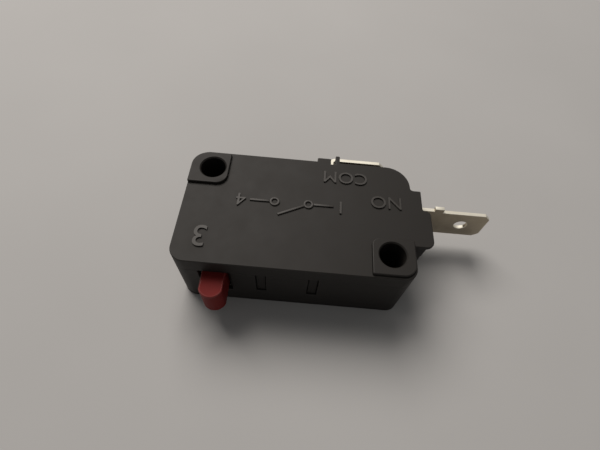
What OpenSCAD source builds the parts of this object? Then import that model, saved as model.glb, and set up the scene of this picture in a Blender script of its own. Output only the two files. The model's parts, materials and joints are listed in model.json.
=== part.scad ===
// Miniature snap-action micro switch with a pin plunger, one normally open contact
// and two push-on terminals. It lies on its back face: Z runs up through the two
// mounting holes, X points to the side terminal and the plunger points to -Y.

/* [Housing] */
// Length of the housing, end to end
body_l = 27.8; // [27:0.1:30]
// Width of the housing, plunger face to far face
body_w = 15.9; // [15.5:0.1:18]
// Height of the housing over the raised pads
body_h = 10.3; // [10.1:0.1:12]
// Height of the parting line between base and cover
base_h = 7.65; // [7.4:0.05:8.2]
// Thickness of the side walls
wall_t = 1.3; // [1.1:0.05:1.5]
// Thickness of the back wall
floor_t = 1.5; // [1:0.1:2]
// Thickness of the cover's top wall
lid_t = 1.3; // [1:0.05:1.6]
// Height of the pads over the cover's face
pad_rise = 0.4; // [0.2:0.05:0.6]
// Corner radius at the plunger end of the plunger face
plunger_corner_r = 1.8; // [1:0.1:2.2]
// Corner radius beside the near mounting hole
near_corner_r = 1.5; // [1:0.1:2]
// Corner radius beside the far mounting hole
far_corner_r = 2.0; // [1:0.1:2.4]
// Corner radius of the open far corner
open_corner_r = 3.0; // [1.5:0.1:4]

/* [Mounting holes] */
// Distance of the holes from the two sides of their corner
hole_inset = 2.8; // [2.7:0.05:3]
// Radius of the holes
hole_r = 1.55; // [1.4:0.05:1.7]
// Width of the chamfer at the hole mouths
hole_chamfer = 0.15; // [0.05:0.05:0.3]
// Radius of the bosses round the holes inside
boss_r = 2.6; // [2.3:0.05:2.8]
// Reach of the far pad past its hole, along and across
far_pad_reach = [2.0, 2.4];
// Reach of the near pad past its hole, along and across
near_pad_reach = [2.35, 2.05];
// Inner corner radius of the far pad
far_pad_r = 1.4; // [0.8:0.1:1.8]
// Inner corner radius of the near pad
near_pad_r = 0.9; // [0.5:0.1:1.4]
// Ledge between the far pad and the far face
far_pad_ledge = 0.4; // [0.2:0.05:0.6]
// Ledge between the near pad and the plunger face
near_pad_ledge = 0.3; // [0.1:0.05:0.5]
// Ledge between the near pad and the end of the housing
near_pad_end = 0.2; // [0.1:0.05:0.4]

/* [End block] */
// How far the terminal block stands out from the end
block_out = 1.3; // [1:0.1:1.5]
// Near edge of the block
block_near = -3.65; // [-3.8:0.05:-3.5]
// Wall of the block beyond its terminal
block_wall = 0.9; // [0.6:0.1:1.2]
// Inset of the block below the parting line
block_inset = 0.05; // [0.05:0.05:0.3]
// How far the roof over the unused terminal place stands out from the end
roof_out = 2.25; // [1.8:0.05:2.6]
// Far edge of that roof
roof_far = 1.5; // [1.2:0.1:1.8]
// Thickness of that roof
roof_t = 0.45; // [0.35:0.05:0.8]
// Radius of that roof's far corner
roof_r = 0.65; // [0.4:0.05:0.8]
// Radius of that roof's near corner
roof_near_r = 0.9; // [0.5:0.05:1.2]
// Fillet where the block meets the end, and the roof the block
block_fillet = 0.4; // [0.2:0.1:0.6]
// Distance of the unused terminal slot from the middle line
spare_slot_y = -1.2; // [-1.6:0.1:-0.8]
// Depth of the unused terminal slot
spare_slot_depth = 1.0; // [0.6:0.1:1.4]

/* [Plunger] */
// Distance of the plunger's middle from the end of the housing
plunger_inset = 4.9; // [4.7:0.1:5.3]
// Width of the plunger
plunger_w = 2.7; // [2.4:0.1:3]
// Height of the plunger across its width
plunger_t = 4.3; // [3.6:0.1:4.6]
// Free height of the plunger over the face
plunger_out = 3.05; // [2.6:0.05:3.3]
// Full travel of the plunger
plunger_travel = 2.2; // [1.8:0.1:2.3]
// Travel to the point where the contact changes over
pre_travel = 1.2; // [1:0.1:1.4]
// Radius of the plunger's tip, at least half its width
plunger_tip_r = 1.45; // [1.35:0.05:2.2]
// Margin of the recess round the plunger's slot
mouth_margin = 0.35; // [0.2:0.05:0.5]
// Depth of the recess round the plunger's slot
mouth_depth = 0.5; // [0.3:0.05:0.7]
// Width of the shoulder that keeps the plunger in
shoulder_w = 4.6; // [4:0.1:5]
// Thickness of the shoulder
shoulder_t = 0.8; // [0.6:0.1:1]
// Height of the nose behind the shoulder
nose_h = 0.75; // [0.7:0.05:0.9]

/* [Terminals] */
// Width of the push-on tabs
tab_w = 4.75; // [4.5:0.05:4.8]
// Thickness of the terminal strip
tab_t = 0.5; // [0.4:0.05:0.6]
// Length of the push-on tabs
tab_l = 6.35; // [6:0.05:6.6]
// Chamfer at the tab corners
tab_chamfer = 0.7; // [0.5:0.1:1]
// Radius of the detent hole in the tabs
tab_hole_r = 0.85; // [0.7:0.05:1]
// Distance of the detent hole from the tip
tab_hole_back = 3.2; // [2.8:0.1:3.4]
// Height of the terminal necks over the tab's edge
neck_rise = 0.2; // [0.1:0.05:0.3]
// Height of the stop ear over the neck
ear_rise = 0.5; // [0.3:0.05:0.6]
// Width of the stop ear
ear_w = 1.2; // [0.9:0.1:1.4]
// Near face of the side terminal
side_y = 3.05; // [2.9:0.05:3.2]
// Reach of the side terminal's tip past the end of the housing
side_out = 11.2; // [10.8:0.1:11.6]
// Distance of the common terminal's stem from the end of the housing
common_inset = 10.1; // [9.8:0.1:10.4]
// Reach of the common tab past its stem
common_reach = 7.1; // [6.8:0.1:7.4]
// Gap between the far face and the common tab
common_gap = 2.3; // [2:0.05:2.5]
// Inside radius of the bends in the common terminal
bend_r = 0.3; // [0.2:0.05:0.4]
// Wide cheek beside the common terminal: width and reach
cheek_size = [1.75, 0.6];
// Thin rib beside the common terminal: width and reach
rib_size = [0.55, 1.15];
// Depth of the cover's slot behind the common terminal
common_slot_in = 0.3; // [0.1:0.05:0.5]

/* [Contacts] */
// Distance of the contacts from the end of the housing
contact_inset = 5.3; // [5:0.1:5.6]
// Open gap between the contacts
contact_gap = 1.0; // [0.8:0.05:1.1]
// Radius of the fixed contact
fixed_r = 1.6; // [1.3:0.1:1.8]
// Height of the fixed contact
fixed_h = 0.8; // [0.6:0.05:0.9]
// Radius of the moving contact
moving_r = 1.4; // [1.2:0.1:1.5]
// Height of the moving contact
moving_h = 0.7; // [0.5:0.05:0.8]
// Radius of the rivet shanks
shank_r = 0.7; // [0.5:0.05:0.8]
// Height of the rivet tails
tail_h = 0.35; // [0.25:0.05:0.4]
// How much smaller a rivet's tail is than its head
tail_inset = 0.4; // [0.3:0.05:0.5]

/* [Snap mechanism] */
// Distance of the arm's pivot from the plunger's middle
pivot_offset = 3.0; // [2.8:0.1:3.3]
// Thickness of the contact arm
arm_t = 0.3; // [0.2:0.05:0.35]
// Width of the contact arm at its fork
arm_w = 4.5; // [4.3:0.05:4.7]
// Width of the window in the fork
window_w = 2.5; // [2.4:0.05:2.7]
// Distance from the contact back to the spring's hook in the arm
hook_back = 5.0; // [4.6:0.1:5.4]
// Width of the bar that the spring hooks round
hook_bar = 0.6; // [0.4:0.05:0.8]
// Length of the lever from the plunger's middle to its pivot
lever_l = 10.0; // [9.6:0.1:10.4]
// Distance of the lever's pivot from the middle line
lever_y = -2.3; // [-2.5:0.1:-2.1]
// Thickness of the lever across the housing
lever_t = 3.7; // [3.5:0.1:3.9]
// Radius of the lever's pivot bead
bead_r = 0.55; // [0.45:0.05:0.65]
// Width of the lever's bar and leg
bar_w = 1.0; // [0.8:0.1:1.2]
// Offset of the spring post from the plunger's middle
post_offset = 0.4; // [0.2:0.1:0.6]
// Radius of the spring post
post_r = 0.42; // [0.35:0.01:0.5]
// Mean radius of the spring's coils
coil_r = 0.85; // [0.8:0.01:0.88]
// Radius of the spring's wire
wire_r = 0.16; // [0.12:0.01:0.18]
// Number of coils
coils = 14; // [10:1:16]
// Radius of the bends from the coils into the eyes
turn_r = 0.35; // [0.25:0.05:0.4]
// Length of the long eye on the lever's post
eye_l = 1.6; // [1.4:0.1:2]
// Length of the eye in the arm
arm_eye_l = 0.8; // [0.6:0.1:1]

/* [Base posts] */
// Wall round the seat of the lever's bead
seat_wall = 0.45; // [0.3:0.05:0.6]
// Length of the post behind the lever's bead
seat_l = 1.9; // [1.5:0.1:2.2]
// Width of the stop that the moving contact rests on
stop_w = 2.0; // [1.4:0.1:2.4]
// Gap between the common strip and the far wall
strip_back = 1.05; // [0.9:0.05:1.2]
// Width of the ribs behind the terminals
rib_w = 0.9; // [0.6:0.1:1.2]
// Distance of the ribs from the ends of the common strip
strip_rib_inset = 1.5; // [1:0.1:2]
// Length and overhang of the shelf under the common strip
shelf_size = [6.0, 0.6];

/* [Cover latches] */
// Depth and thickness of the ribs that locate the cover
lip_t = 0.7; // [0.5:0.05:0.8]
// Width of the latch recesses
latch_w = 1.2; // [1:0.1:1.5]
// Depth of the latch recesses in the wall
latch_depth = 0.7; // [0.6:0.05:0.8]
// Height of the bottom of the latch recesses
latch_z = 3.2; // [2.8:0.1:3.6]
// Thickness of the latch tongues
tongue_t = 0.4; // [0.3:0.05:0.45]
// Distance of the left latches from the plunger's end of the housing
left_latch = 10.25; // [9.8:0.05:10.6]
// Distance of the right latch of the plunger face from the terminals' end
near_latch = 11.4; // [11:0.1:11.8]
// Distance of the right latch of the far face from the terminals' end
far_latch = 4.9; // [4.6:0.1:5.2]

/* [Clearances] */
// Running clearance of the plunger
slide_gap = 0.1; // [0.05:0.01:0.15]
// Clearance of pieces that seat in each other
seat_gap = 0.05; // [0.03:0.01:0.08]
// Clearance of the arm's pivot edge in its groove
pivot_gap = 0.07; // [0.05:0.01:0.1]
// Clearance all round the spring
spring_gap = 0.2; // [0.15:0.01:0.25]
// Depth of the terminals' edge under the parting line
tab_cover = 0.125; // [0.1:0.005:0.15]

/* [Hidden] */
$fn = 64;

// Overlap that joins features of one solid, and the run of a cut past a face
lap = 0.2;
past = 1;

// Faces of the housing
left_x = -body_l / 2;
right_x = body_l / 2;
near_y = -body_w / 2;
far_y = body_w / 2;
face_z = body_h - pad_rise;
lid_z = face_z - lid_t;
near_in = near_y + wall_t;
far_in = far_y - wall_t;
far_hole = [left_x + hole_inset, far_y - hole_inset];
near_hole = [right_x - hole_inset, near_y + hole_inset];
cavity_r = 0.8;
near_latches = [left_x + left_latch, right_x - near_latch];
far_latches = [left_x + left_latch, right_x - far_latch];
plunger_x = left_x + plunger_inset;
common_x = right_x - common_inset;
contact_x = right_x - contact_inset;

// The roof's step from the block, which limits its corners and its fillet
corner_share = 0.65;
fillet_share = 0.3;
near_share = 0.95;
roof_step = roof_out - block_out;
roof_corner_r = min(roof_r, roof_step * corner_share);
roof_near_corner_r = min(roof_near_r, roof_step * near_share);
roof_fillet = min(block_fillet, roof_step * fillet_share);

// Terminals, set just under the parting line
tab_top = base_h - tab_cover;
tab_bottom = tab_top - tab_w;
mid_z = tab_top - tab_w / 2;
neck_top = tab_top + neck_rise;
side_tip = right_x + side_out;
side_ear = side_tip - tab_l;
side_inner = contact_x - fixed_r - tail_inset;
block_far = side_y + tab_t + block_wall;
common_out = far_y + common_gap;
common_tip = common_x + tab_t + common_reach;
strip_y = far_in - strip_back - tab_t;

// Contact arm: it swings evenly to both sides of its middle position
closed_y = side_y - fixed_h - seat_gap - moving_h - arm_t / 2;
pivot = [plunger_x + pivot_offset, closed_y - contact_gap / 2];
arm_l = contact_x - pivot[0];
hook_l = arm_l - hook_back;
swing = asin(contact_gap / 2 / arm_l);
pivot_groove_r = arm_t / 2 + pivot_gap;
moving_tail_r = moving_r - tail_inset;
fixed_tail_r = fixed_r - tail_inset;
tongue_x = pivot[0] - seat_gap;
arm_end = arm_l + moving_r + lap;
hook_y = pivot[1] - hook_l * sin(swing);
hook = [pivot[0] + hook_l * cos(swing), hook_y];
stop_y = closed_y - contact_gap - arm_t / 2 - tail_h - moving_tail_r * sin(swing) - seat_gap;

// Lever: the spring's post crosses the arm's line after the pre-travel
shoulder_y = near_in + seat_gap;
nose_y = shoulder_y + shoulder_t + nose_h;
push = [plunger_x, nose_y + slide_gap];
lever_pivot = [plunger_x + lever_l, lever_y];
post_x = plunger_x - post_offset;
dead_y = pivot[1] + (pivot[0] - post_x) * tan(swing);
post = [post_x, dead_y - pre_travel * (lever_l + post_offset) / lever_l];
pad_r = 0.8;
head_r = 0.9;

// Spring from the lever's post to the hook in the arm
spring_axis = hook - post;
spring_l = norm(spring_axis);
spring_angle = atan2(spring_axis[1], spring_axis[0]);
spring_slot = 2 * (coil_r + wire_r + spring_gap);

// Plan helpers: a rectangle between two corners, one with rounded corners, and a fillet
module plan_rect(low, high) {
    translate(low) square(high - low);
}

module corner_bite(corner, r, side) {
    centre = corner - r * side;
    reach = r + past;
    difference() {
        plan_rect(
            [min(centre[0], centre[0] + reach * side[0]), min(centre[1], centre[1] + reach * side[1])],
            [max(centre[0], centre[0] + reach * side[0]), max(centre[1], centre[1] + reach * side[1])]
        );
        translate(centre) circle(r);
    }
}

// The radii run round from the low corner: near left, near right, far right, far left
module rounded_plan(low, high, radii) {
    corners = [low, [high[0], low[1]], high, [low[0], high[1]]];
    sides = [[-1, -1], [1, -1], [1, 1], [-1, 1]];
    difference() {
        plan_rect(low, high);
        for (i = [0:3])
            if (radii[i] > 0)
                corner_bite(corners[i], radii[i], sides[i]);
    }
}

// A concave fillet in the corner at a point, filling towards the given side
module fillet_plan(corner, r, side) {
    difference() {
        translate([corner[0] - (side[0] < 0 ? r : 0), corner[1] - (side[1] < 0 ? r : 0)]) square(r);
        translate(corner + r * side) circle(r);
    }
}

// A quarter ring of terminal strip, bent about its centre and starting at an angle
module bend_plan(centre, start) {
    translate(centre) rotate(start) difference() {
        intersection() {
            circle(bend_r + tab_t);
            square(bend_r + tab_t);
        }
        circle(bend_r);
    }
}

module body_plan() {
    rounded_plan([left_x, near_y], [right_x, far_y],
        [plunger_corner_r, near_corner_r, open_corner_r, far_corner_r]);
}

// The terminal block on the right end, drawn in by an inset below the parting line
module block_plan(inset) {
    plan_rect([right_x - past, block_near + inset], [right_x + block_out - inset, block_far - inset]);
    fillet_plan([right_x, block_far - inset], block_fillet, [1, 1]);
}

// The roof over the unused terminal place
module roof_plan() {
    rounded_plan([right_x - past, block_near], [right_x + roof_out, roof_far],
        [0, roof_near_corner_r, roof_corner_r, 0]);
    fillet_plan([right_x + block_out, roof_far], roof_fillet, [1, 1]);
}

// The cheek and the rib that flank the common terminal on the far face and meet under it
module collar_plan() {
    stem_mid = common_x + tab_t / 2;
    half_slot = tab_t / 2 + seat_gap;
    plan_rect([stem_mid - half_slot - cheek_size[0], far_y - past], [stem_mid, far_y + cheek_size[1]]);
    plan_rect([stem_mid, far_y - past], [stem_mid + half_slot + rib_size[0], far_y + rib_size[1]]);
}

// The boss round a mounting hole, run out into the two walls of its corner
module boss_plan(hole, side) {
    run = [body_l / 2 - abs(hole[0]), body_w / 2 - abs(hole[1])];
    translate(hole) {
        circle(boss_r);
        translate([side[0] < 0 ? -run[0] : 0, -boss_r]) square([run[0], 2 * boss_r]);
        translate([-boss_r, side[1] < 0 ? -run[1] : 0]) square([2 * boss_r, run[1]]);
    }
}

module cavity_plan() {
    difference() {
        rounded_plan([left_x + wall_t, near_in], [right_x - wall_t, far_in],
            [cavity_r, cavity_r, cavity_r, cavity_r]);
        boss_plan(far_hole, [-1, 1]);
        boss_plan(near_hole, [1, -1]);
    }
}

module pad_plan() {
    intersection() {
        body_plan();
        union() {
            rounded_plan(
                [left_x, far_hole[1] - far_pad_reach[1]],
                [far_hole[0] + far_pad_reach[0], far_y - far_pad_ledge],
                [0, far_pad_r, 0, far_corner_r]);
            rounded_plan(
                [near_hole[0] - near_pad_reach[0], near_y + near_pad_ledge],
                [right_x - near_pad_end, near_hole[1] + near_pad_reach[1]],
                [0, near_corner_r, 0, near_pad_r]);
        }
    }
}

module slab(low_z, high_z) {
    translate([0, 0, low_z]) linear_extrude(high_z - low_z) children();
}

module block(low, high) {
    translate(low) cube(high - low);
}

module mounting_holes() {
    for (hole = [far_hole, near_hole])
        translate([hole[0], hole[1], 0]) {
            translate([0, 0, -past]) cylinder(r = hole_r, h = body_h + 2 * past);
            translate([0, 0, body_h - hole_chamfer])
                cylinder(r1 = hole_r, r2 = hole_r + 2 * hole_chamfer, h = 2 * hole_chamfer);
            translate([0, 0, -hole_chamfer])
                cylinder(r1 = hole_r + 2 * hole_chamfer, r2 = hole_r, h = 2 * hole_chamfer);
        }
}

// Slots for the two live terminals and the unused one, open at the parting line
module terminal_slots(low_z, high_z) {
    block([right_x - wall_t - past, side_y - seat_gap, low_z],
        [right_x + block_out + past, side_y + tab_t + seat_gap, high_z]);
    block([common_x - seat_gap, far_in - past, low_z],
        [common_x + tab_t + seat_gap, far_y + rib_size[1] + past, high_z]);
}

// The plunger's slot, open at the parting line, and the shallow recess round its mouth
module plunger_slot() {
    half = plunger_w / 2 + slide_gap;
    low = base_h - slide_gap * 2 - plunger_t;
    block([plunger_x - half, near_y - past, low], [plunger_x + half, near_in + past, base_h + past]);
    block([plunger_x - half - mouth_margin, near_y - past, low - mouth_margin],
        [plunger_x + half + mouth_margin, near_y + mouth_depth, base_h + past]);
}

module latch_recess(x, wall_y, inward) {
    depth_y = wall_y + inward * latch_depth;
    pocket_y = depth_y + inward * tongue_t;
    out_y = wall_y - inward * past;
    block([x - latch_w / 2, min(out_y, depth_y), latch_z],
        [x + latch_w / 2, max(out_y, depth_y), base_h + past]);
    block([x - latch_w / 2, min(out_y, pocket_y), latch_z],
        [x + latch_w / 2, max(out_y, pocket_y), latch_z + latch_w]);
}

// A tongue of the cover that drops into its recess and hooks under the wall
module latch_tongue(x, wall_y, inward) {
    half = latch_w / 2 - slide_gap;
    back_y = wall_y + inward * (latch_depth - seat_gap);
    front_y = back_y - inward * tongue_t;
    hook_y = back_y + inward * (tongue_t - seat_gap);
    block([x - half, min(front_y, back_y), latch_z + slide_gap],
        [x + half, max(front_y, back_y), base_h + lap]);
    block([x - half, min(front_y, hook_y), latch_z + slide_gap],
        [x + half, max(front_y, hook_y), latch_z + latch_w - slide_gap]);
}

// Posts and ribs moulded on the floor of the base
module floor_posts() {
    seat_r = bead_r + seat_gap;
    foot = floor_t - lap;
    rib_top = base_h - lip_t - slide_gap;
    half_seat = seat_r + seat_wall;
    slab(foot, mid_z + lever_t / 2) difference() {
        plan_rect(lever_pivot + [slide_gap, -half_seat], lever_pivot + [seat_l, half_seat]);
        translate(lever_pivot) circle(seat_r);
    }
    slab(foot, mid_z + moving_r)
        plan_rect([contact_x - stop_w / 2, near_hole[1] + boss_r - lap], [contact_x + stop_w / 2, stop_y]);
    side_rib = contact_x - fixed_tail_r - slide_gap - rib_w;
    strip_ribs = [tongue_x + strip_rib_inset, common_x - strip_rib_inset - rib_w];
    slab(foot, rib_top)
        plan_rect([side_rib, side_y + tab_t + seat_gap], [side_rib + rib_w, far_in + lap]);
    for (x = strip_ribs)
        slab(foot, rib_top)
            plan_rect([x, strip_y + tab_t + seat_gap], [x + rib_w, far_in + lap]);
    slab(foot, tab_bottom - seat_gap)
        plan_rect([common_x - past - shelf_size[0], strip_y - shelf_size[1]], [common_x - past, far_in + lap]);
}

module base_housing() {
    color("#262322") difference() {
        union() {
            difference() {
                slab(0, base_h) {
                    body_plan();
                    block_plan(block_inset);
                    collar_plan();
                }
                slab(floor_t, base_h + past) cavity_plan();
            }
            floor_posts();
        }
        mounting_holes();
        terminal_slots(tab_bottom - seat_gap, base_h + past);
        block([right_x + block_out - block_inset - spare_slot_depth, spare_slot_y, tab_bottom],
            [right_x + block_out + past, spare_slot_y + tab_t, base_h + past]);
        plunger_slot();
        for (x = near_latches)
            latch_recess(x, near_y, 1);
        for (x = far_latches)
            latch_recess(x, far_y, -1);
    }
}

// Ribs under the cover that drop inside the base's walls and locate it
module cover_lips() {
    low = base_h - lip_t;
    high = lid_z + lap;
    block([plunger_x + shoulder_w / 2 + past, near_in + slide_gap, low],
        [near_hole[0] - boss_r - past, near_in + slide_gap + lip_t, high]);
    block([far_hole[0] + boss_r + past, far_in - slide_gap - lip_t, low],
        [common_x - past, far_in - slide_gap, high]);
    block([left_x + wall_t + slide_gap, near_in + past, low],
        [left_x + wall_t + slide_gap + lip_t, far_hole[1] - boss_r - past, high]);
}

module cover() {
    color("#2b2827") {
        difference() {
            union() {
                difference() {
                    slab(base_h, face_z) {
                        body_plan();
                        block_plan(0);
                        collar_plan();
                    }
                    slab(base_h - past, lid_z) cavity_plan();
                }
                slab(face_z - lap, body_h) pad_plan();
                slab(face_z - roof_t, face_z) roof_plan();
                cover_lips();
            }
            mounting_holes();
            terminal_slots(base_h - past, neck_top + seat_gap);
            block([common_x - seat_gap, far_y - common_slot_in, base_h - past],
                [common_x + tab_t + seat_gap, far_y + rib_size[1] + past, body_h + past]);
        }
        for (x = near_latches)
            latch_tongue(x, near_y, 1);
        for (x = far_latches)
            latch_tongue(x, far_y, -1);
    }
}

module plunger() {
    tip_y = near_y - plunger_out;
    top = base_h - slide_gap;
    half = plunger_w / 2;
    tip_r = max(plunger_tip_r, half);
    color("#8a322e") {
        slab(top - plunger_t, top) {
            intersection() {
                translate([plunger_x, tip_y + tip_r]) circle(tip_r);
                plan_rect([plunger_x - half, tip_y - past], [plunger_x + half, tip_y + tip_r]);
            }
            plan_rect([plunger_x - half, tip_y + tip_r], [plunger_x + half, shoulder_y + lap]);
            intersection() {
                translate([plunger_x, nose_y - tip_r]) circle(tip_r);
                plan_rect([plunger_x - half, shoulder_y], [plunger_x + half, nose_y + past]);
            }
        }
        block([plunger_x - shoulder_w / 2, shoulder_y, top - plunger_t + slide_gap],
            [plunger_x + shoulder_w / 2, shoulder_y + shoulder_t, top - slide_gap]);
    }
}

// A straight bar of the lever between two points
module bar_plan(from, to) {
    run = to - from;
    translate(from) rotate(atan2(run[1], run[0])) translate([0, -bar_w / 2]) square([norm(run), bar_w]);
}

module actuator_lever() {
    pad = push + [0, pad_r];
    color("#d8d0bb") difference() {
        slab(mid_z - lever_t / 2, mid_z + lever_t / 2) {
            translate(lever_pivot) circle(bead_r);
            translate(pad) circle(pad_r);
            translate(post) circle(head_r);
            bar_plan(lever_pivot, pad);
            bar_plan(pad, post);
        }
        difference() {
            block([post[0] - 2 * head_r, post[1] - head_r - 2 * spring_gap, mid_z - spring_slot / 2],
                [post[0] + 2 * head_r, post[1] + 2 * head_r, mid_z + spring_slot / 2]);
            translate([post[0], post[1], mid_z - lever_t / 2]) cylinder(r = post_r, h = lever_t);
        }
    }
}

// A rivet along Y: its head on the far side of the plate, its tail on the near side
module rivet(head_r, head_h, plate_t, tail_r) {
    crown = head_h / 3;
    rotate([-90, 0, 0]) {
        cylinder(r = head_r, h = head_h - crown);
        translate([0, 0, head_h - crown]) cylinder(r1 = head_r, r2 = head_r - crown, h = crown);
        translate([0, 0, -plate_t - lap]) cylinder(r = shank_r, h = plate_t + 2 * lap);
        translate([0, 0, -plate_t - tail_h]) cylinder(r = tail_r, h = tail_h);
    }
}

// The arm's own frame: its pivot at the origin and its length along X, at rest on the stop
module arm_frame() {
    translate([pivot[0], pivot[1], mid_z]) rotate([0, 0, -swing]) children();
}

module contact_arm() {
    hook_hole_r = 3 * wire_r;
    window_end = hook_l - wire_r - seat_gap - hook_bar;
    shoulder = window_end + hook_bar + 3 * hook_hole_r;
    tongue_w = 2 * (moving_r + lap);
    color("#b87a45") arm_frame() difference() {
        translate([0, 0, -arm_w / 2]) linear_extrude(arm_w) {
            circle(arm_t / 2);
            translate([0, -arm_t / 2]) square([arm_end, arm_t]);
        }
        block([-past, -past, -window_w / 2], [window_end, past, window_w / 2]);
        for (low = [-tongue_w / 2 - arm_w, tongue_w / 2])
            block([shoulder, -past, low], [arm_end + past, past, low + arm_w]);
        translate([hook_l + hook_hole_r - wire_r - seat_gap, 0, turn_r])
            rotate([90, 0, 0]) cylinder(r = hook_hole_r, h = 2 * past, center = true);
        translate([arm_l, 0, 0])
            rotate([90, 0, 0]) cylinder(r = shank_r + seat_gap, h = 2 * past, center = true);
    }
}

module moving_contact() {
    color("#d9d8d4") arm_frame()
        translate([arm_l, arm_t / 2, 0]) rivet(moving_r, moving_h, arm_t, moving_tail_r);
}

module fixed_contact() {
    color("#d9d8d4") translate([contact_x, side_y, mid_z])
        rotate([0, 0, 180]) rivet(fixed_r, fixed_h, tab_t, fixed_tail_r);
}

// Strip with a chamfered tip and a detent hole, in its own X and Y
module tab_plan(tip, low, high) {
    polygon([
        [tip - tab_l, low], [tip - tab_chamfer, low], [tip, low + tab_chamfer],
        [tip, high - tab_chamfer], [tip - tab_chamfer, high], [tip - tab_l, high]
    ]);
}

module side_terminal() {
    color("#c9c3b5") translate([0, side_y + tab_t, 0]) rotate([90, 0, 0]) linear_extrude(tab_t) difference() {
        union() {
            tab_plan(side_tip, tab_bottom, tab_top);
            plan_rect([side_inner, tab_bottom], [side_ear, tab_top]);
            plan_rect([right_x - wall_t + seat_gap, tab_bottom], [side_ear, neck_top]);
            plan_rect([side_ear - ear_w, tab_bottom], [side_ear, neck_top + ear_rise]);
        }
        translate([side_tip - tab_hole_back, mid_z]) circle(tab_hole_r);
        translate([contact_x, mid_z]) circle(shank_r + seat_gap);
    }
}

// Plan of the common terminal: tab, stem through the far wall, strip inside and pivot tongue
module common_plan() {
    stem = [common_x, common_x + tab_t];
    tongue = [tongue_x - tab_t, tongue_x];
    tab_start = stem[1] + bend_r;
    strip_far = strip_y + tab_t;
    plan_rect([tab_start, common_out], [common_tip, common_out + tab_t]);
    bend_plan([tab_start, common_out - bend_r], 90);
    plan_rect([stem[0], strip_far + bend_r], [stem[1], common_out - bend_r]);
    bend_plan([stem[0] - bend_r, strip_far + bend_r], 270);
    plan_rect([tongue[1] + bend_r, strip_y], [stem[0] - bend_r, strip_far]);
    bend_plan([tongue[1] + bend_r, strip_y - bend_r], 90);
    plan_rect([tongue[0], pivot[1] - past], [tongue[1], strip_y - bend_r]);
}

module common_terminal() {
    color("#c9c3b5") difference() {
        slab(tab_bottom, neck_top) common_plan();
        block([tongue_x - tab_t - past, near_y, tab_top],
            [common_x + tab_t + past, far_in + seat_gap, neck_top + past]);
        block([common_x - past, far_y + cheek_size[1], tab_top],
            [common_tip + past, common_out + tab_t + past, neck_top + past]);
        for (z = [tab_bottom, tab_top])
            translate([common_tip, common_out - past, z]) rotate([0, 45, 0])
                cube([sqrt(2) * tab_chamfer, 4 * past, sqrt(2) * tab_chamfer], center = true);
        translate([common_tip - tab_hole_back, common_out + past, mid_z])
            rotate([90, 0, 0]) cylinder(r = tab_hole_r, h = 3 * past);
        block([tongue_x - tab_t - past, pivot[1] - 2 * past, mid_z - spring_slot / 2],
            [tongue_x + past, pivot[1] + plunger_travel, mid_z + spring_slot / 2]);
        translate([pivot[0], pivot[1], tab_bottom - past]) cylinder(r = pivot_groove_r, h = tab_w + 2 * past);
    }
}

// Path of the spring's wire in its own frame, from the post at the origin along X:
// a long eye, a quarter bend, the coils, a quarter bend and the eye in the arm
coil_start = coil_r - post_r - seat_gap - wire_r + eye_l + turn_r;
coil_end = spring_l - coil_r - arm_eye_l - turn_r;
eye_x = coil_start - turn_r - eye_l;
arm_eye_x = coil_end + turn_r + arm_eye_l;
coil_steps = 12;
bend_steps = 3;
eye_steps = 8;
left_eye = [for (i = [0:eye_steps]) [
    eye_x - coil_r * sin(180 * i / eye_steps), -coil_r * cos(180 * i / eye_steps), -turn_r]];
left_bend = [for (i = [0:bend_steps - 1]) [
    coil_start - turn_r + turn_r * sin(90 * i / bend_steps), coil_r, -turn_r * cos(90 * i / bend_steps)]];
coil = [for (i = [0:coils * coil_steps]) [
    coil_start + (coil_end - coil_start) * i / (coils * coil_steps),
    coil_r * cos(360 * i / coil_steps), coil_r * sin(360 * i / coil_steps)]];
right_bend = [for (i = [1:bend_steps]) [
    coil_end + turn_r - turn_r * cos(90 * i / bend_steps), coil_r, turn_r * sin(90 * i / bend_steps)]];
right_eye = [for (i = [0:eye_steps]) [
    arm_eye_x + coil_r * sin(180 * i / eye_steps), coil_r * cos(180 * i / eye_steps), turn_r]];
wire_path = concat(
    [[eye_x + eye_l / 2, -coil_r, -turn_r]], left_eye, left_bend, coil, right_bend, right_eye,
    [[arm_eye_x - arm_eye_l / 2, -coil_r, turn_r]]);

function unit(v) = v / norm(v);
function tangent(path, i) =
    unit(path[min(i + 1, len(path) - 1)] - path[max(i - 1, 0)]);
// Each ring keeps the direction of the one before it, turned square to the wire
function ring_sides(path, i, last) =
    i == len(path) ? [] :
    let (t = tangent(path, i), side = unit(last - t * (last * t)))
    concat([side], ring_sides(path, i + 1, side));

module wire(path, r, facets) {
    sides = ring_sides(path, 0, [0, 0, 1]);
    count = len(path);
    points = [for (i = [0:count - 1])
        let (u = sides[i], v = cross(tangent(path, i), u))
        for (k = [0:facets - 1])
            path[i] + r * (u * cos(360 * k / facets) + v * sin(360 * k / facets))];
    walls = [for (i = [0:count - 2]) for (k = [0:facets - 1])
        let (a = i * facets + k, b = i * facets + (k + 1) % facets)
        [a, a + facets, b + facets, b]];
    caps = [[for (k = [0:facets - 1]) k],
        [for (k = [facets - 1:-1:0]) (count - 1) * facets + k]];
    polyhedron(points, concat(walls, caps));
}

module tension_spring() {
    color("#9c9fa2") translate([post[0], post[1], mid_z]) rotate([0, 0, spring_angle])
        wire(wire_path, wire_r, 8);
}

base_housing();
cover();
plunger();
actuator_lever();
contact_arm();
moving_contact();
tension_spring();
common_terminal();
side_terminal();
fixed_contact();
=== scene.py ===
"""Visual model of a miniature snap-action micro switch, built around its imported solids.

The solids stay where they are. Each moulding and terminal that shows is a copy of its solid with
rounded edges and procedural finishes, and the cover also carries raised terminal marks.
"""

import json
import logging
import math
from collections.abc import Callable
from dataclasses import dataclass, field
from enum import Enum
from typing import Any

import bmesh
import bpy
from mathutils import Matrix, Vector
from mathutils.geometry import intersect_point_line


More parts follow.
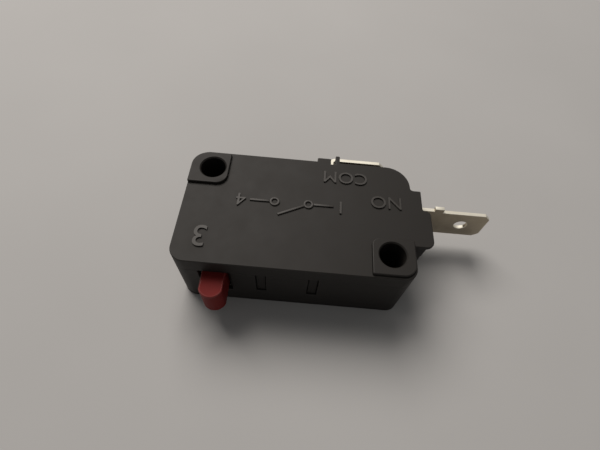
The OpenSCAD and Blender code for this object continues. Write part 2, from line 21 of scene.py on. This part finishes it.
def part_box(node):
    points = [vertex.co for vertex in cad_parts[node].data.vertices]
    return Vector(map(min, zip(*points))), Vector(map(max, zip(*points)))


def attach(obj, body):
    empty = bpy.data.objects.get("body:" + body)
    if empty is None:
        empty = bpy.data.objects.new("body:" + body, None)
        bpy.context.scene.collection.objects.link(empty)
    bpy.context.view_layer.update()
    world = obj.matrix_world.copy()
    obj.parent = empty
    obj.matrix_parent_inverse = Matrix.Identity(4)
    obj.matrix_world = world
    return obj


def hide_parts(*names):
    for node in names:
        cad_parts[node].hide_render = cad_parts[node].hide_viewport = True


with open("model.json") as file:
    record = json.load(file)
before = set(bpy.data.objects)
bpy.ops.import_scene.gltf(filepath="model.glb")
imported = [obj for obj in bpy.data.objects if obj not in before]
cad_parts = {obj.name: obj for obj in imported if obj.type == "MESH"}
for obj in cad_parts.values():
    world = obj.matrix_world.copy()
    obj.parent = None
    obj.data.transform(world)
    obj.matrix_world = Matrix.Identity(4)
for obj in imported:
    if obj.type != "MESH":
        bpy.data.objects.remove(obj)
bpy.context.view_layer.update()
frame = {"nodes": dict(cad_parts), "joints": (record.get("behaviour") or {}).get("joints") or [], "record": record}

LOG = logging.getLogger("micro_switch")
MM = 0.001

Colour = tuple[float, float, float]
Point = tuple[float, float]
Triple = tuple[float, float, float]
EdgeTest = Callable[[bmesh.types.BMEdge], bool]


class Body(Enum):
    """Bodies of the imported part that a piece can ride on."""

    HOUSING = "housing"
    PLUNGER = "plunger"


class Slot(Enum):
    """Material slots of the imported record."""

    CASE = "case"
    PLUNGER = "plunger"
    TERMINAL = "terminal"


class Grain(Enum):
    """Direction in which a metal strip was rolled or drawn, as a scale of its marks."""

    ALONG_X = (0.06, 1.0, 1.0)
    NONE = (1.0, 1.0, 1.0)


# Most of a noise's values lie between these two
NOISE_LOW = 0.3
NOISE_HIGH = 0.7


class NodeGraph:
    """A material's nodes, with short calls that add and join them."""

    def __init__(self, name: str) -> None:
        """Starts a material with its shader and the piece's own coordinates.

        Args:
            name: Name of the material.
        """
        self.material = bpy.data.materials.new(name)
        self.material.use_nodes = True
        self.tree = self.material.node_tree
        self.shader = self.tree.nodes["Principled BSDF"]
        self.place = self.add("ShaderNodeTexCoord").outputs["Object"]

    def add(self, kind: str) -> bpy.types.Node:
        """Adds a node of the given kind and returns it."""
        return self.tree.nodes.new(kind)

    def join(self, source: bpy.types.NodeSocket, target: bpy.types.NodeSocket) -> None:
        """Links an output to an input."""
        self.tree.links.new(source, target)

    def noise(self, size_mm: float, detail: float, grain: Grain = Grain.NONE) -> bpy.types.NodeSocket:
        """Adds noise whose features have a real size.

        Args:
            size_mm: Size of the largest features across the grain.
            detail: Number of finer octaves.
            grain: Direction in which the features are drawn out.

        Returns:
            The noise's value, from 0 to 1.
        """
        mapping = self.add("ShaderNodeMapping")
        mapping.inputs["Scale"].default_value = [share / (size_mm * MM) for share in grain.value]
        texture = self.add("ShaderNodeTexNoise")
        texture.inputs["Scale"].default_value = 1.0
        texture.inputs["Detail"].default_value = detail
        self.join(self.place, mapping.inputs["Vector"])
        self.join(mapping.outputs["Vector"], texture.inputs["Vector"])
        return texture.outputs["Fac"]

    def colours(self, value: bpy.types.NodeSocket, dark: Colour, light: Colour) -> None:
        """Colours the surface between two shades.

        Args:
            value: Pattern from 0 to 1.
            dark: Colour at the pattern's low parts.
            light: Colour at its high parts.
        """
        ramp = self.add("ShaderNodeValToRGB")
        low, high = ramp.color_ramp.elements
        low.position = NOISE_LOW
        high.position = NOISE_HIGH
        low.color = (*dark, 1.0)
        high.color = (*light, 1.0)
        self.join(value, ramp.inputs["Fac"])
        self.join(ramp.outputs["Color"], self.shader.inputs["Base Color"])

    def roughness(self, value: bpy.types.NodeSocket, low: float, high: float) -> None:
        """Varies the surface's roughness.

        Args:
            value: Pattern from 0 to 1.
            low: Roughness at the pattern's low parts.
            high: Roughness at its high parts.
        """
        span = self.add("ShaderNodeMapRange")
        span.inputs["From Min"].default_value = NOISE_LOW
        span.inputs["From Max"].default_value = NOISE_HIGH
        span.inputs["To Min"].default_value = low
        span.inputs["To Max"].default_value = high
        self.join(value, span.inputs["Value"])
        self.join(span.outputs["Result"], self.shader.inputs["Roughness"])

    def bump(self, height: bpy.types.NodeSocket, depth_mm: float) -> None:
        """Raises the surface by a pattern.

        Args:
            height: Pattern from 0 to 1.
            depth_mm: Real depth of the pattern.
        """
        bump = self.add("ShaderNodeBump")
        bump.inputs["Strength"].default_value = 1.0
        bump.inputs["Distance"].default_value = depth_mm * MM
        self.join(height, bump.inputs["Height"])
        self.join(bump.outputs["Normal"], self.shader.inputs["Normal"])


@dataclass(frozen=True)
class MouldedPlastic:
    """Matt moulded plastic with a fine grain from the mould's eroded walls."""

    name: str
    dark: Colour
    light: Colour
    rough: tuple[float, float]
    specular: float = 0.5
    mottle_mm: float = 2.2
    mottle_detail: float = 5.0
    grain_mm: float = 0.11
    grain_detail: float = 2.0
    grain_depth_mm: float = 0.006

    def material(self) -> bpy.types.Material:
        """Builds the finish from nodes.

        Returns:
            The new material.
        """
        graph = NodeGraph(self.name)
        mottle = graph.noise(self.mottle_mm, self.mottle_detail)
        graph.colours(mottle, self.dark, self.light)
        graph.roughness(mottle, *self.rough)
        graph.bump(graph.noise(self.grain_mm, self.grain_detail), self.grain_depth_mm)
        graph.shader.inputs["Specular IOR Level"].default_value = self.specular
        return graph.material


@dataclass(frozen=True)
class RolledMetal:
    """Metal strip or wire with fine marks along its grain."""

    name: str
    dark: Colour
    light: Colour
    rough: tuple[float, float]
    grain: Grain = Grain.ALONG_X
    tarnish_mm: float = 2.5
    tarnish_detail: float = 4.0
    streak_mm: float = 0.12
    streak_detail: float = 3.0
    streak_depth_mm: float = 0.002

    def material(self) -> bpy.types.Material:
        """Builds the finish from nodes.

        Returns:
            The new material.
        """
        graph = NodeGraph(self.name)
        streaks = graph.noise(self.streak_mm, self.streak_detail, self.grain)
        graph.colours(graph.noise(self.tarnish_mm, self.tarnish_detail), self.dark, self.light)
        graph.roughness(streaks, *self.rough)
        graph.bump(streaks, self.streak_depth_mm)
        graph.shader.inputs["Metallic"].default_value = 1.0
        return graph.material


@dataclass(frozen=True)
class Finish:
    """The look of a piece, and of the edges that wear or cutting left different; on the terminals the lighter cut
    faces are partly a painted highlight.
    """

    surface: MouldedPlastic | RolledMetal
    edges: MouldedPlastic | RolledMetal

    def materials(self) -> list[bpy.types.Material]:
        """Builds both materials, the surface first."""
        return [self.surface.material(), self.edges.material()]


# Place of a finish's edge material in the list that it builds
EDGE_INDEX = 1

BLACK_CASE = Finish(
    surface=MouldedPlastic(
        "black_case", dark=(0.0150, 0.0130, 0.0112), light=(0.0176, 0.0153, 0.0133),
        rough=(0.58, 0.63), specular=0.28),
    edges=MouldedPlastic(
        "black_case_edges", dark=(0.0168, 0.0146, 0.0128), light=(0.0196, 0.0172, 0.0150),
        rough=(0.50, 0.55), specular=0.34))
# Marks lighter than the case: partly rubbed wear, partly a painted highlight on the raised letters and lines.
MARKS_WEAR_AND_HIGHLIGHT = MouldedPlastic(
    "marks_wear_and_painted_highlight", dark=(0.0300, 0.0265, 0.0235), light=(0.0370, 0.0330, 0.0295),
    rough=(0.46, 0.52), specular=0.36)
RED_PLUNGER = Finish(
    surface=MouldedPlastic(
        "red_plunger", dark=(0.145, 0.0130, 0.0120), light=(0.172, 0.0175, 0.0160),
        rough=(0.54, 0.60), specular=0.09),
    edges=MouldedPlastic(
        "red_plunger_edges", dark=(0.170, 0.0200, 0.0180), light=(0.198, 0.0270, 0.0245),
        rough=(0.38, 0.44), specular=0.30))
# Painted light on the terminals: the plated faces are darkened partly as painted shade and the cut faces that look
# up or down are lightened partly as a painted highlight; the rest is the plating's tarnish and bare cut metal.
PLATED_STRIP_PAINTED_LIGHT = Finish(
    surface=RolledMetal(
        "plated_strip_tarnish_and_shade", dark=(0.36, 0.310, 0.230), light=(0.46, 0.400, 0.310), rough=(0.28, 0.42)),
    edges=RolledMetal(
        "cut_edges_bare_and_highlight", dark=(0.76, 0.735, 0.655), light=(0.86, 0.840, 0.760), rough=(0.68, 0.78)))
NATURAL_LEVER = MouldedPlastic(
    "natural_lever", dark=(0.66, 0.60, 0.47), light=(0.74, 0.69, 0.57), rough=(0.40, 0.50))
COPPER_STRIP = RolledMetal(
    "copper_strip", dark=(0.52, 0.29, 0.15), light=(0.66, 0.40, 0.22), rough=(0.26, 0.36))
SILVER_RIVET = RolledMetal(
    "silver_rivet", dark=(0.72, 0.71, 0.68), light=(0.84, 0.83, 0.80), rough=(0.20, 0.30),
    grain=Grain.NONE)
SPRING_WIRE = RolledMetal(
    "spring_wire", dark=(0.50, 0.50, 0.50), light=(0.62, 0.62, 0.61), rough=(0.22, 0.32))


@dataclass(frozen=True)
class EdgeRound:
    """A rounding of the ridge edges that a test picks."""

    radius_mm: float
    picks: EdgeTest
    segments: int = 3
    spare: float = 1.25

    @property
    def room(self) -> float:
        """Width that a face needs beside the rounded edge."""
        return self.radius_mm * MM * self.spare


RIDGE_ANGLE = math.radians(25)
FLAT_ANGLE = math.radians(0.4)
SMOOTH_ANGLE = math.radians(32)
WELD_MM = 0.0005
LEVEL_SLACK = 0.000004
SELECT_EDGES = (False, True, False)
SELECT_FACES = (False, False, True)


def make_active(piece: bpy.types.Object) -> None:
    """Deselects everything else and makes one object active.

    Args:
        piece: Object to work on.
    """
    bpy.ops.object.select_all(action="DESELECT")
    piece.select_set(True)
    bpy.context.view_layer.objects.active = piece


def copy_of_solid(node: str, materials: list[bpy.types.Material]) -> bpy.types.Object:
    """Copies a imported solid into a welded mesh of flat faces.

    Args:
        node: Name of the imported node.
        materials: Finish of the surface and of the edges.

    Returns:
        The new object, named for the node, at the origin.
    """
    piece = bpy.data.objects.new(f"{node}_finished", frame["nodes"][node].data.copy())
    bpy.context.scene.collection.objects.link(piece)
    piece.data.materials.clear()
    for material in materials:
        piece.data.materials.append(material)
    make_active(piece)
    bpy.ops.object.mode_set(mode="EDIT")
    bpy.ops.mesh.customdata_custom_splitnormals_clear()
    bpy.ops.mesh.select_all(action="SELECT")
    bpy.ops.mesh.remove_doubles(threshold=WELD_MM * MM)
    bpy.ops.mesh.dissolve_limited(angle_limit=FLAT_ANGLE)
    bpy.ops.object.mode_set(mode="OBJECT")
    return piece


def middle_of(edge: bmesh.types.BMEdge) -> Vector:
    """Returns the middle of an edge."""
    return (edge.verts[0].co + edge.verts[1].co) / 2


def is_ridge(edge: bmesh.types.BMEdge) -> bool:
    """Tells whether an edge is a sharp outer corner."""
    return len(edge.link_faces) == 2 and edge.calc_face_angle_signed() > RIDGE_ANGLE


def is_hollow(edge: bmesh.types.BMEdge) -> bool:
    """Tells whether an edge is a sharp inner corner."""
    return len(edge.link_faces) == 2 and edge.calc_face_angle_signed() < -RIDGE_ANGLE


def is_level(edge: bmesh.types.BMEdge, height: float) -> bool:
    """Tells whether an edge lies flat at a height, in the mesh's own unit."""
    return all(abs(corner.co.z - height) < LEVEL_SLACK for corner in edge.verts)


def gap_to(edge: bmesh.types.BMEdge, point: Vector) -> float:
    """Measures how far an edge is from a point.

    Args:
        edge: Edge to measure to.
        point: Point to measure from.

    Returns:
        The distance to the nearest point of the edge.
    """
    start, end = (corner.co for corner in edge.verts)
    share = intersect_point_line(point, start, end)[1]
    return (start.lerp(end, min(max(share, 0.0), 1.0)) - point).length


def has_room(edge: bmesh.types.BMEdge, room: float) -> bool:
    """Tells whether the inner corners beside an edge leave room to round it.

    Args:
        edge: Ridge edge to round.
        room: Width that the rounding needs.

    Returns:
        True where every inner corner of the edge's faces is further away.
    """
    hollows = {other for face in edge.link_faces for other in face.edges if is_hollow(other)}
    return all(gap_to(other, middle_of(edge)) > room for other in hollows)


def open_with_edges(piece: bpy.types.Object, picks: EdgeTest) -> None:
    """Opens a piece in edit mode with only some of its edges selected.

    Args:
        piece: Mesh object to open.
        picks: Test that an edge passes to be selected.
    """
    make_active(piece)
    bpy.ops.object.mode_set(mode="EDIT")
    bpy.context.tool_settings.mesh_select_mode = SELECT_EDGES
    bpy.ops.mesh.select_all(action="DESELECT")
    mesh = bmesh.from_edit_mesh(piece.data)
    for edge in mesh.edges:
        edge.select_set(picks(edge))
    bmesh.update_edit_mesh(piece.data)


def round_edges(piece: bpy.types.Object, rounding: EdgeRound) -> None:
    """Rounds the ridge edges of a piece that the rounding picks.

    Args:
        piece: Mesh object to round.
        rounding: Radius of the edges, and the test that picks them.
    """
    open_with_edges(piece, lambda edge: (
        is_ridge(edge) and rounding.picks(edge) and has_room(edge, rounding.room)))
    bpy.ops.mesh.bevel(
        offset=rounding.radius_mm * MM, segments=rounding.segments, affect="EDGES",
        clamp_overlap=False, loop_slide=False, material=EDGE_INDEX)
    bpy.ops.mesh.select_all(action="SELECT")
    bpy.ops.mesh.remove_doubles(threshold=WELD_MM * MM)
    bpy.ops.object.mode_set(mode="OBJECT")


def dress(piece: bpy.types.Object, body: Body) -> None:
    """Smooths a finished piece and gives it its body.

    Args:
        piece: Finished mesh object.
        body: Body that the piece rides on.
    """
    make_active(piece)
    bpy.ops.object.shade_smooth_by_angle(angle=SMOOTH_ANGLE)
    flats = piece.modifiers.new("flat_faces", "WEIGHTED_NORMAL")
    flats.keep_sharp = True
    bpy.ops.object.modifier_apply(modifier=flats.name)
    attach(piece, body.value)
    LOG.info("%s: %d faces on %s", piece.name, len(piece.data.polygons), body.value)


@dataclass
class Case:
    """The moulded base and cover.

    Only edges within the skin's depth of the outside are rounded. The mouth's share is how far a
    hole's chamfer reaches, in radii of the hole.
    """

    rim_round_mm: float = 0.13
    parting_round_mm: float = 0.05
    parting_segments: int = 2
    skin_mm: float = 1.0
    mouth_share: float = 1.25
    core_x: float = field(init=False)
    core_y: float = field(init=False)
    foot: float = field(init=False)
    parting: float = field(init=False)
    lid: float = field(init=False)
    holes: list[dict[str, Any]] = field(init=False)

    def __post_init__(self) -> None:
        """Takes the levels, walls and holes of the case from the frame."""
        corner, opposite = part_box("base_housing")
        self.core_x = -corner.x - self.skin_mm * MM
        self.core_y = -corner.y - self.skin_mm * MM
        self.foot = corner.z + self.skin_mm * MM
        self.parting = opposite.z
        self.lid = (opposite.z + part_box("cover")[1].z) / 2
        self.holes = [mount for mount in frame["record"]["mounts"] if mount["kind"] == "bore"]

    def is_hole_mouth(self, edge: bmesh.types.BMEdge) -> bool:
        """Tells whether an edge belongs to the mouth of a mounting hole.

        Args:
            edge: Edge of the base or the cover.

        Returns:
            True within the mouth's reach of a hole's axis.
        """
        middle = middle_of(edge)
        return any(
            math.hypot(middle.x - hole["pos_m"][0], middle.y - hole["pos_m"][1])
            < self.mouth_share * hole["dims"]["r_mm"] * MM
            for hole in self.holes)

    def is_outside(self, edge: bmesh.types.BMEdge) -> bool:
        """Tells whether an edge lies in the outer skin of the case.

        Args:
            edge: Edge of the base or the cover.

        Returns:
            True in a side wall's skin, in the lid and at the foot.
        """
        middle = middle_of(edge)
        in_wall = abs(middle.x) > self.core_x or abs(middle.y) > self.core_y
        return in_wall or middle.z > self.lid or middle.z < self.foot

    def rounds_base(self, edge: bmesh.types.BMEdge) -> bool:
        """Picks the outer edges of the base, away from the parting line and the holes."""
        at_parting = is_level(edge, self.parting)
        return self.is_outside(edge) and not at_parting and not self.is_hole_mouth(edge)

    def rounds_cover(self, edge: bmesh.types.BMEdge) -> bool:
        """Picks the same edges of the cover, without the latches that hang into the base."""
        return self.rounds_base(edge) and middle_of(edge).z > self.parting

    def rounds_parting(self, edge: bmesh.types.BMEdge) -> bool:
        """Picks the outer edges along the parting line."""
        return self.is_outside(edge) and is_level(edge, self.parting)

    def build(self, materials: list[bpy.types.Material]) -> None:
        """Makes both mouldings.

        Args:
            materials: Finish of the surface and of the edges.
        """
        for node, rounds_rim in (("base_housing", self.rounds_base), ("cover", self.rounds_cover)):
            piece = copy_of_solid(node, materials)
            round_edges(piece, EdgeRound(self.rim_round_mm, rounds_rim))
            round_edges(
                piece, EdgeRound(self.parting_round_mm, self.rounds_parting, self.parting_segments))
            dress(piece, Body.HOUSING)
            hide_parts(node)


@dataclass
class TerminalMarks:
    """Raised marks on the cover: the names of the terminals, the open contact and the cavity.

    The marks are modelled in millimetres and scaled once they are whole. They are turned to be
    read from the far side, and each word has its letters, its middle and its size of type.
    """

    rise_mm: float = 0.18
    sunk_mm: float = 0.06
    stroke_mm: float = 0.27
    ring_mm: float = 0.48
    ring_sides: int = 32
    edge_round_mm: float = 0.05
    edge_segments: int = 2
    letter_turn: float = math.pi
    letter_steps: int = 5
    words: tuple[tuple[str, Point, float], ...] = (
        ("COM", (5.6, 5.5), 2.5),
        ("NO", (10.7, 2.2), 2.5),
        ("1", (5.1, 0.9), 2.5),
        ("4", (-7.0, 0.9), 2.5),
        ("3", (-10.9, -4.5), 3.9),
    )
    pole: Point = (1.2, 0.9)
    contact: Point = (-2.9, 0.9)
    lead_mm: float = 2.4
    arm_end: Point = (-2.4, -0.9)
    face_mm: float = field(init=False)

    def __post_init__(self) -> None:
        """Takes the level of the cover's face from the frame."""
        self.face_mm = self.face_level() / MM

    @property
    def depth_mm(self) -> float:
        """Whole height of a mark, with what is sunk in the cover."""
        return self.rise_mm + self.sunk_mm

    @property
    def middle_mm(self) -> float:
        """Level of the middle of a mark."""
        return self.face_mm + (self.rise_mm - self.sunk_mm) / 2

    @staticmethod
    def face_level() -> float:
        """Finds the cover's broad face.

        Returns:
            The height at which the cover has the largest area that faces up.
        """
        areas: dict[float, float] = {}
        mesh = frame["nodes"]["cover"].data
        for face in mesh.polygons:
            if face.normal.z > math.cos(FLAT_ANGLE):
                height = round(face.center.z, 6)
                areas[height] = areas.get(height, 0.0) + face.area
        return max(areas, key=areas.__getitem__)

    def build(self, material: bpy.types.Material) -> None:
        """Makes every mark and joins them into one piece.

        Args:
            material: Finish of the marks, lighter than the case partly as rubbed wear and partly as a painted
                highlight.
        """
        marks = [self.add_word(*word) for word in self.words]
        marks += [self.add_ring(self.pole), self.add_ring(self.contact)]
        outer = self.ring_mm + self.stroke_mm / 2
        for centre, way in ((self.pole, 1), (self.contact, -1)):
            start = (centre[0] + way * outer, centre[1])
            marks.append(self.add_ridge(start, (start[0] + way * self.lead_mm, centre[1])))
        marks.append(self.add_ridge(self.rim_towards(self.pole, self.arm_end), self.arm_end))
        piece = self.join(marks)
        piece.data.materials.clear()
        piece.data.materials.append(material)
        dress(piece, Body.HOUSING)

    def rim_towards(self, centre: Point, target: Point) -> Point:
        """Returns the point on a ring's rim that looks at a target."""
        way = (Vector(target) - Vector(centre)).normalized() * self.ring_mm
        return (centre[0] + way.x, centre[1] + way.y)

    def add_word(self, word: str, place: Point, size_mm: float) -> bpy.types.Object:
        """Adds raised letters.

        Args:
            word: The letters or the number.
            place: Middle of the word on the cover.
            size_mm: Size of the letters' type.

        Returns:
            The letters as a closed mesh in millimetres.
        """
        bpy.ops.object.select_all(action="DESELECT")
        bpy.ops.object.text_add()
        letters = bpy.context.object
        letters.data.body = word
        letters.data.size = size_mm
        letters.data.align_x = "CENTER"
        letters.data.align_y = "CENTER"
        letters.data.resolution_u = self.letter_steps
        letters.data.extrude = self.depth_mm / 2
        bpy.ops.object.convert(target="MESH")
        letters.rotation_euler.z = self.letter_turn
        letters.location = (*place, self.middle_mm)
        bpy.ops.object.transform_apply()
        self.weld(letters)
        return letters

    def add_ridge(self, start: Point, end: Point) -> bpy.types.Object:
        """Adds a straight raised line with a rounded top.

        Args:
            start: One end on the cover.
            end: The other end.

        Returns:
            The line as a closed mesh in millimetres.
        """
        run = Vector(end) - Vector(start)
        middle = (Vector(start) + Vector(end)) / 2
        bpy.ops.object.select_all(action="DESELECT")
        bpy.ops.mesh.primitive_cube_add(
            size=1.0, location=(*middle, self.middle_mm), rotation=(0, 0, math.atan2(run.y, run.x)),
            scale=(run.length, self.stroke_mm, self.depth_mm))
        ridge = bpy.context.object
        bpy.ops.object.transform_apply()
        self.round_top(ridge)
        return ridge

    def add_ring(self, centre: Point) -> bpy.types.Object:
        """Adds a raised ring with a rounded top, whose well ends out of sight in the cover.

        Args:
            centre: Middle of the ring on the cover.

        Returns:
            The ring as a closed mesh in millimetres.
        """
        bpy.ops.object.select_all(action="DESELECT")
        bpy.ops.mesh.primitive_cylinder_add(
            vertices=self.ring_sides, radius=self.ring_mm + self.stroke_mm / 2, depth=self.depth_mm,
            location=(*centre, self.middle_mm))
        ring = bpy.context.object
        bpy.ops.object.transform_apply()
        bpy.ops.object.mode_set(mode="EDIT")
        bpy.context.tool_settings.mesh_select_mode = SELECT_FACES
        bpy.ops.mesh.select_all(action="DESELECT")
        mesh = bmesh.from_edit_mesh(ring.data)
        for face in mesh.faces:
            face.select_set(face.normal.z > math.cos(FLAT_ANGLE))
        bmesh.update_edit_mesh(ring.data)
        bpy.ops.mesh.inset(thickness=self.stroke_mm)
        well_mm = self.rise_mm + self.sunk_mm / 2
        bpy.ops.mesh.extrude_region_move(TRANSFORM_OT_translate={"value": (0, 0, -well_mm)})
        bpy.ops.object.mode_set(mode="OBJECT")
        self.round_top(ring)
        return ring

    def round_top(self, mark: bpy.types.Object) -> None:
        """Rounds the top edges of a raised line or ring.

        Args:
            mark: The line or ring, in millimetres.
        """
        top = self.face_mm + self.rise_mm
        open_with_edges(mark, lambda edge: is_ridge(edge) and is_level(edge, top))
        bpy.ops.mesh.bevel(offset=self.edge_round_mm, segments=self.edge_segments, affect="EDGES")
        bpy.ops.object.mode_set(mode="OBJECT")

    @staticmethod
    def weld(mark: bpy.types.Object) -> None:
        """Closes the seams of converted letters and turns their faces outwards.

        Args:
            mark: The letters, in millimetres.
        """
        make_active(mark)
        bpy.ops.object.mode_set(mode="EDIT")
        bpy.ops.mesh.select_all(action="SELECT")
        bpy.ops.mesh.remove_doubles(threshold=WELD_MM)
        bpy.ops.mesh.normals_make_consistent(inside=False)
        bpy.ops.object.mode_set(mode="OBJECT")

    @staticmethod
    def join(marks: list[bpy.types.Object]) -> bpy.types.Object:
        """Joins the marks into one piece at its real size.

        Args:
            marks: Closed meshes in millimetres.

        Returns:
            The joined piece.
        """
        make_active(marks[0])
        for mark in marks:
            mark.select_set(True)
        bpy.ops.object.join()
        piece = bpy.context.object
        piece.name = "terminal_marks"
        piece.scale = (MM, MM, MM)
        bpy.ops.object.transform_apply()
        return piece


@dataclass
class Plunger:
    """The red push pin."""

    round_mm: float = 0.16
    root_mm: float = 0.7
    root: float = field(init=False)
    flat_sides: list[float] = field(init=False)

    def __post_init__(self) -> None:
        """Takes the pin's root, inside the plunger face, and its two flat sides from the frame."""
        self.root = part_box("base_housing")[0].y + self.root_mm * MM
        self.flat_sides = [corner.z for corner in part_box("plunger")]

    def rounds(self, edge: bmesh.types.BMEdge) -> bool:
        """Picks the edges of the two flat sides in front of the root."""
        in_front = middle_of(edge).y < self.root
        return in_front and any(is_level(edge, side) for side in self.flat_sides)

    def build(self, materials: list[bpy.types.Material]) -> None:
        """Makes the pin, with rounded edges in front of its shoulder.

        Args:
            materials: Finish of the surface and of the edges.
        """
        piece = copy_of_solid("plunger", materials)
        self.split_at_root(piece)
        round_edges(piece, EdgeRound(self.round_mm, self.rounds))
        dress(piece, Body.PLUNGER)
        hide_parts("plunger")

    def split_at_root(self, piece: bpy.types.Object) -> None:
        """Cuts a ring of edges round the pin, where its rounded edges end.

        Args:
            piece: The pin.
        """
        make_active(piece)
        bpy.ops.object.mode_set(mode="EDIT")
        bpy.ops.mesh.select_all(action="SELECT")
        bpy.ops.mesh.bisect(plane_co=(0, self.root, 0), plane_no=(0, 1, 0))
        bpy.ops.object.mode_set(mode="OBJECT")


@dataclass
class Terminals:
    """The two push-on terminals, stamped from plated strip.

    Edges within the notch's reach of the arm's pivot stay sharp, and a face that looks up or down by more than the
    cut's tilt was cut. Such faces get a far lighter finish, which is partly bare cut metal and partly a painted
    highlight.
    """

    round_mm: float = 0.05
    round_segments: int = 2
    notch_mm: float = 1.5
    cut_tilt: float = 0.7
    pivot: Vector = field(init=False)

    def __post_init__(self) -> None:
        """Takes the arm's pivot from the frame."""
        pivot = next(joint for joint in frame["joints"] if joint["name"] == "arm_pivot")
        self.pivot = Vector(pivot["pos_m"])

    def rounds(self, edge: bmesh.types.BMEdge) -> bool:
        """Picks every edge but the sharp notches that the arm rocks in."""
        return (middle_of(edge) - self.pivot).to_2d().length > self.notch_mm * MM

    def build(self, materials: list[bpy.types.Material]) -> None:
        """Makes both terminals with broken edges, and cut faces that are partly bare metal and partly a painted
        highlight.

        Args:
            materials: Finish of the plated faces, partly tarnish and partly painted shade, and of the cut edges,
                partly bare metal and partly painted highlight.
        """
        for node in ("side_terminal", "common_terminal"):
            piece = copy_of_solid(node, materials)
            round_edges(piece, EdgeRound(self.round_mm, self.rounds, self.round_segments))
            self.paint_highlight_on_cut_faces(piece)
            dress(piece, Body.HOUSING)
            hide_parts(node)

    def paint_highlight_on_cut_faces(self, piece: bpy.types.Object) -> None:
        """Gives the faces that were cut from the strip the lighter finish of its edges, which is partly bare metal
        and partly a painted highlight.

        Args:
            piece: A terminal.
        """
        for face in piece.data.polygons:
            # Faces that look up or down get the lighter colour, partly a painted highlight.
            if abs(face.normal.z) > self.cut_tilt:
                face.material_index = EDGE_INDEX


@dataclass(frozen=True)
class Mechanism:
    """The pieces inside the case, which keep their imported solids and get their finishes."""

    lever: MouldedPlastic = NATURAL_LEVER
    arm: RolledMetal = COPPER_STRIP
    spring: RolledMetal = SPRING_WIRE
    rivets: RolledMetal = SILVER_RIVET

    def build(self) -> None:
        """Gives each inner solid its finish."""
        silver = self.rivets.material()
        finishes = {
            "actuator_lever": self.lever.material(),
            "contact_arm": self.arm.material(),
            "tension_spring": self.spring.material(),
            "moving_contact": silver,
            "fixed_contact": silver,
        }
        for node, material in finishes.items():
            frame["nodes"][node].material_slots[0].material = material
            LOG.info("%s: finished with %s", node, material.name)


@dataclass(frozen=True)
class PhotoCamera:
    """The camera of the photograph, worked out from the case's known corners."""

    place_mm: Triple = (0.126, -25.821, 48.423)
    azimuth_deg: float = 0.624
    elevation_deg: float = 58.343
    roll_deg: float = 5.521
    focal_px: float = 386.83
    image_px: float = 600.0
    sensor_mm: float = 36.0
    nearest_mm: float = 1.0

    def build(self) -> None:
        """Adds the camera and makes it the scene's own."""
        turn, tilt, roll = map(math.radians, (self.azimuth_deg, self.elevation_deg, self.roll_deg))
        forward = Vector(
            (math.sin(turn) * math.cos(tilt), math.cos(turn) * math.cos(tilt), -math.sin(tilt)))
        level = forward.cross(Vector((0, 0, 1))).normalized()
        upright = level.cross(forward)
        right = level * math.cos(roll) + upright * math.sin(roll)
        up = right.cross(forward)
        bpy.ops.object.camera_add()
        camera = bpy.context.object
        camera.matrix_world = Matrix.Translation(Vector(self.place_mm) * MM) @ Matrix(
            (right, up, -forward)).transposed().to_4x4()
        camera.data.sensor_width = self.sensor_mm
        camera.data.lens = self.sensor_mm * self.focal_px / self.image_px
        camera.data.clip_start = self.nearest_mm * MM
        bpy.context.scene.camera = camera


@dataclass(frozen=True)
class Studio:
    """A pale floor, one large soft lamp behind the part and a dim sky, in metres and watts."""

    floor_size: float = 1.6
    floor_gap_mm: float = 0.01
    floor_dark: Colour = (0.455, 0.450, 0.447)
    floor_light: Colour = (0.480, 0.475, 0.472)
    floor_mottle_mm: float = 40.0
    floor_detail: float = 3.0
    floor_rough: float = 0.8
    floor_specular: float = 0.2
    lamp_place: Triple = (-0.12, 0.23, 0.355)
    lamp_size: tuple[float, float] = (0.30, 0.26)
    lamp_colour: Colour = (1.0, 0.945, 0.885)
    lamp_power: float = 1.83
    sky_colour: Colour = (1.0, 0.99, 0.97)
    sky_strength: float = 0.15

    def build(self) -> None:
        """Adds the floor, the lamp and the sky."""
        self.add_floor()
        self.add_lamp()
        self.light_sky()
        bpy.context.scene.view_settings.view_transform = "Standard"

    def add_floor(self) -> None:
        """Adds the floor that the part lies on."""
        bpy.ops.object.select_all(action="DESELECT")
        bpy.ops.mesh.primitive_plane_add(
            size=self.floor_size, location=(0, 0, -self.floor_gap_mm * MM))
        floor = bpy.context.object
        floor.name = "floor"
        graph = NodeGraph("pale_floor")
        mottle = graph.noise(self.floor_mottle_mm, self.floor_detail)
        graph.colours(mottle, self.floor_dark, self.floor_light)
        graph.shader.inputs["Roughness"].default_value = self.floor_rough
        graph.shader.inputs["Specular IOR Level"].default_value = self.floor_specular
        floor.data.materials.append(graph.material)

    def add_lamp(self) -> None:
        """Adds the soft lamp, aimed at the part."""
        bpy.ops.object.light_add(type="AREA", location=self.lamp_place)
        lamp = bpy.context.object
        lamp.data.shape = "RECTANGLE"
        lamp.data.size, lamp.data.size_y = self.lamp_size
        lamp.data.color = self.lamp_colour
        lamp.data.energy = self.lamp_power
        lamp.rotation_mode = "QUATERNION"
        lamp.rotation_quaternion = (-lamp.location).to_track_quat("-Z", "Y")

    def light_sky(self) -> None:
        """Lights the part dimly from all round."""
        world = bpy.data.worlds.new("sky")
        world.use_nodes = True
        background = world.node_tree.nodes["Background"]
        background.inputs["Color"].default_value = (*self.sky_colour, 1.0)
        background.inputs["Strength"].default_value = self.sky_strength
        bpy.context.scene.world = world


def main() -> None:
    """Builds every piece of the switch, then the camera and the studio."""
    logging.basicConfig(level=logging.INFO, format="%(name)s: %(message)s")
    Case().build(BLACK_CASE.materials())
    TerminalMarks().build(MARKS_WEAR_AND_HIGHLIGHT.material())
    Plunger().build(RED_PLUNGER.materials())
    Terminals().build(PLATED_STRIP_PAINTED_LIGHT.materials())
    Mechanism().build()
    PhotoCamera().build()
    Studio().build()


if __name__ == "__main__":
    main()
